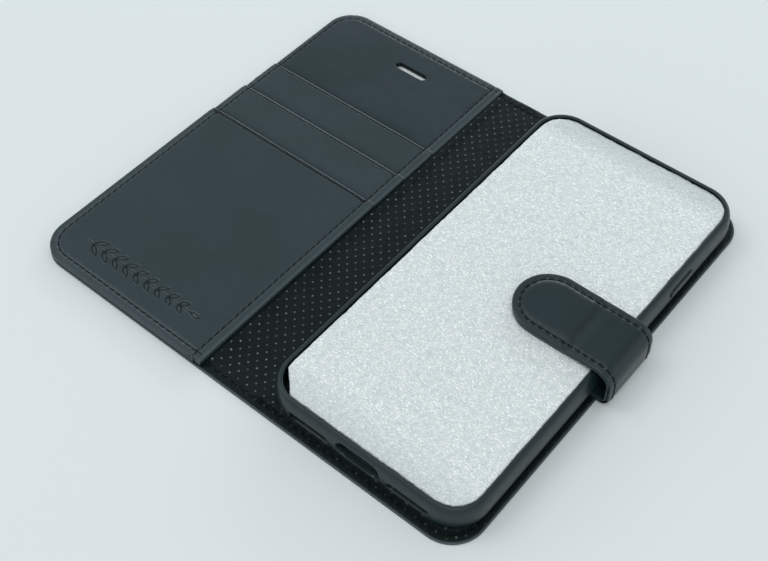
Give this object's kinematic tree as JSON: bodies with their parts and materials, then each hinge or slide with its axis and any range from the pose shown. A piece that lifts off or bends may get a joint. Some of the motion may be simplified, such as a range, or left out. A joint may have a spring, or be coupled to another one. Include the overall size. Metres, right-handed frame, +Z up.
{
  "type": "phone wallet case",
  "caption": "Folio phone case with card pockets in the folding front cover, a soft tray with a foam insert on the back cover, and a magnetic closing strap bent over the tray.",
  "frame": {"origin": "centre of the back cover's resting face", "axes": "+X across the case towards the strap, +Y towards the top of the phone, +Z up from the table; the folio lies open, inner side up"},
  "size_m": [0.1962, 0.1714, 0.0166],
  "materials": {
    "cover_leather": "smooth satin synthetic leather",
    "lining": "matt, with a staggered grid of small pale dots",
    "stiffener_board": "matt",
    "adhesive": "matt",
    "tray_plastic": "satin soft moulded plastic",
    "foam": "fine-celled, slightly glittering foam sheet",
    "thread": "matt thread",
    "steel": "plain"
  },
  "bodies": {
    "back_cover": {"back_skin": "cover_leather", "back_board": "stiffener_board", "back_lining": "lining", "tray_adhesive_pad": "adhesive", "phone_tray": "tray_plastic", "foam_insert": "foam", "back_stitches": "thread", "strap_anchor_tab": "cover_leather", "back_crease": "cover_leather", "strap_root_fold": "cover_leather"},
    "spine": {"spine_skin": "cover_leather", "spine_lining": "lining", "spine_stitches": "thread", "front_crease": "cover_leather"},
    "front_cover": {"front_skin": "cover_leather", "front_board": "stiffener_board", "closing_plate": "steel", "front_lining": "lining", "wallet_panel": "cover_leather", "card_pocket_1": "cover_leather", "card_pocket_2": "cover_leather", "card_pocket_3": "cover_leather", "spine_side_hem": "cover_leather", "front_stitches": "thread", "hem_stitches": "thread"},
    "strap_web": {"strap_web_outer": "cover_leather", "strap_web_inner": "cover_leather", "strap_top_fold": "cover_leather"},
    "strap_tongue": {"tongue_outer": "cover_leather", "tongue_inner": "cover_leather", "tongue_stiffener": "stiffener_board", "strap_magnet": "steel", "tongue_stitches": "thread"},
    "power_key": {"power_button": "tray_plastic"},
    "volume_up_key": {"volume_up_button": "tray_plastic"},
    "volume_down_key": {"volume_down_button": "tray_plastic"}
  },
  "joints": [
    {"name": "spine_fold", "type": "hinge", "parent": "back_cover", "child": "spine", "pos_m": [-0.0451, 0, 0.00052], "axis": [0, 1, 0], "range_deg": [-90, 90], "deforming": ["back_crease"]},
    {"name": "cover_fold", "type": "hinge", "parent": "spine", "child": "front_cover", "pos_m": [-0.0619, 0, 0.00052], "axis": [0, 1, 0], "range_deg": [-90, 90], "deforming": ["front_crease"]},
    {"name": "strap_lift", "type": "hinge", "parent": "back_cover", "child": "strap_web", "pos_m": [0.04551, 0, 0.00179], "axis": [0, 1, 0], "range_deg": [0, 90], "deforming": ["strap_root_fold"]},
    {"name": "strap_unbend", "type": "hinge", "parent": "strap_web", "child": "strap_tongue", "pos_m": [0.04473, 0, 0.01383], "axis": [0, 1, 0], "range_deg": [0, 90], "deforming": ["strap_top_fold"]},
    {"name": "power_press", "type": "slide", "parent": "back_cover", "child": "power_key", "axis": [-1, 0, 0], "range_m": [0, 0.0004], "stiffness_N_per_m": 800, "springref_m": -0.0006},
    {"name": "volume_up_press", "type": "slide", "parent": "back_cover", "child": "volume_up_key", "axis": [1, 0, 0], "range_m": [0, 0.0004], "stiffness_N_per_m": 800, "springref_m": -0.0006},
    {"name": "volume_down_press", "type": "slide", "parent": "back_cover", "child": "volume_down_key", "axis": [1, 0, 0], "range_m": [0, 0.0004], "stiffness_N_per_m": 800, "springref_m": -0.0006}
  ]
}
